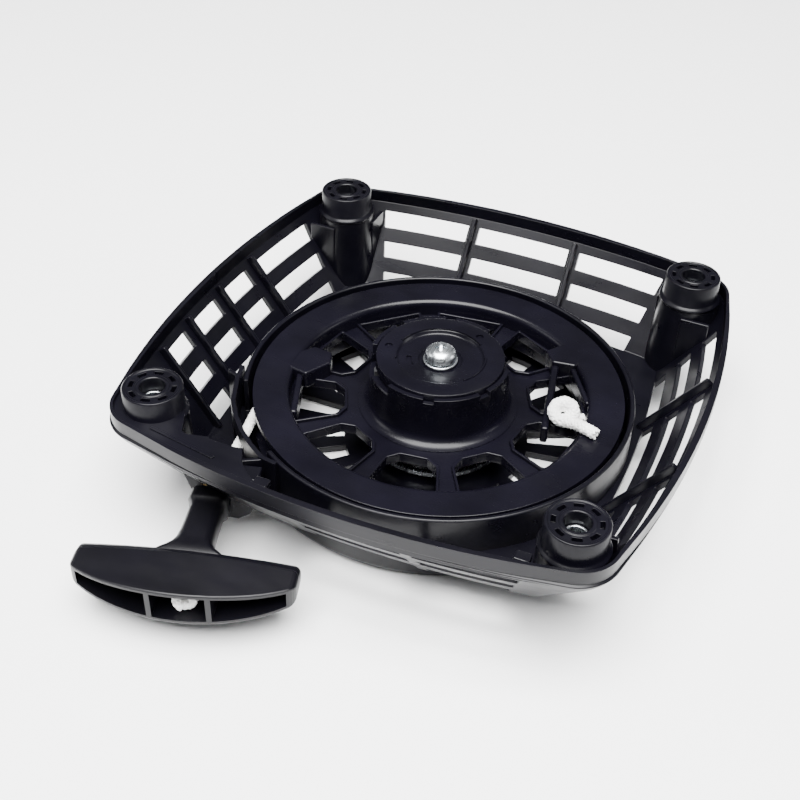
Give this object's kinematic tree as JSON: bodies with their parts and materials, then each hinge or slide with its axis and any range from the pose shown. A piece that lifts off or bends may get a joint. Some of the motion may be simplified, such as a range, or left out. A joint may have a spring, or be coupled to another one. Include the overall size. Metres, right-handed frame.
{
  "type": "recoil starter",
  "caption": "Pull-cord recoil starter with a slotted square housing, rope reel, ratchet pawls, recoil spring and T handle.",
  "frame": {"origin": "centre of the flat outer face, on the reel's axis", "axes": "+Z from the outer face towards the engine, along the reel's axis; -Y towards the pull handle's side; +X to the right seen from above with the handle in front"},
  "size_m": [0.2119, 0.2488, 0.058],
  "materials": {
    "black_nylon": "moulded black glass-filled nylon, fine satin texture",
    "black_acetal": "moulded black acetal, semi-gloss",
    "grip_plastic": "moulded black plastic, satin",
    "rope": "white braided polyester starter rope",
    "zinc_steel": "bright zinc-plated steel",
    "spring_steel": "blued spring steel",
    "pawl_steel": "dark sintered steel",
    "guide_brass": "plain brass"
  },
  "bodies": {
    "root": {"housing": "black_nylon", "bolt_sleeve_front_left": "zinc_steel", "bolt_sleeve_front_right": "zinc_steel", "bolt_sleeve_back_right": "zinc_steel", "bolt_sleeve_back_left": "zinc_steel", "rope_guide": "guide_brass", "rope_lead": "rope", "centre_screw": "zinc_steel", "screw_washer": "zinc_steel"},
    "reel": {"reel": "black_acetal", "spring_cover": "zinc_steel", "recoil_spring": "spring_steel", "rope_on_reel": "rope", "reel_knot": "rope", "pawl_pin_1": "zinc_steel", "pawl_pin_2": "zinc_steel"},
    "pawl_1": {"pawl_1": "pawl_steel"},
    "pawl_2": {"pawl_2": "pawl_steel"},
    "pawl_plate": {"pawl_plate": "black_acetal", "brake_spring": "spring_steel"},
    "handle": {"handle": "grip_plastic", "rope_pull": "rope", "rope_in_handle": "rope", "handle_knot": "rope"}
  },
  "joints": [
    {"name": "reel_spin", "type": "hinge", "parent": "root", "child": "reel", "pos_m": [0, 0, 0.02], "axis": [0, 0, 1], "range_deg": [0, 830], "stiffness_Nm_per_rad": 0.03, "springref_deg": -343.77, "deforming": ["recoil_spring", "rope_on_reel"]},
    {"name": "handle_pull", "type": "slide", "parent": "root", "child": "handle", "axis": [0.2924, -0.9563, 0], "range_m": [0, 0.98], "deforming": ["rope_pull"]},
    {"name": "plate_turn", "type": "hinge", "parent": "reel", "child": "pawl_plate", "pos_m": [0, 0, 0.0415], "axis": [0, 0, 1], "range_deg": [-30, 0]},
    {"name": "pawl_1_swing", "type": "hinge", "parent": "reel", "child": "pawl_1", "pos_m": [0.0195, 0, 0.0368], "axis": [0, 0, 1], "range_deg": [-28, 0]},
    {"name": "pawl_2_swing", "type": "hinge", "parent": "reel", "child": "pawl_2", "pos_m": [-0.0195, 0, 0.0368], "axis": [0, 0, 1], "range_deg": [-28, 0]}
  ],
  "couplings": [
    {"joint": "handle_pull", "follows": "reel_spin", "m_per_rad": 0.0672},
    {"joint": "pawl_1_swing", "follows": "plate_turn", "ratio": 0.9333},
    {"joint": "pawl_2_swing", "follows": "plate_turn", "ratio": 0.9333}
  ]
}
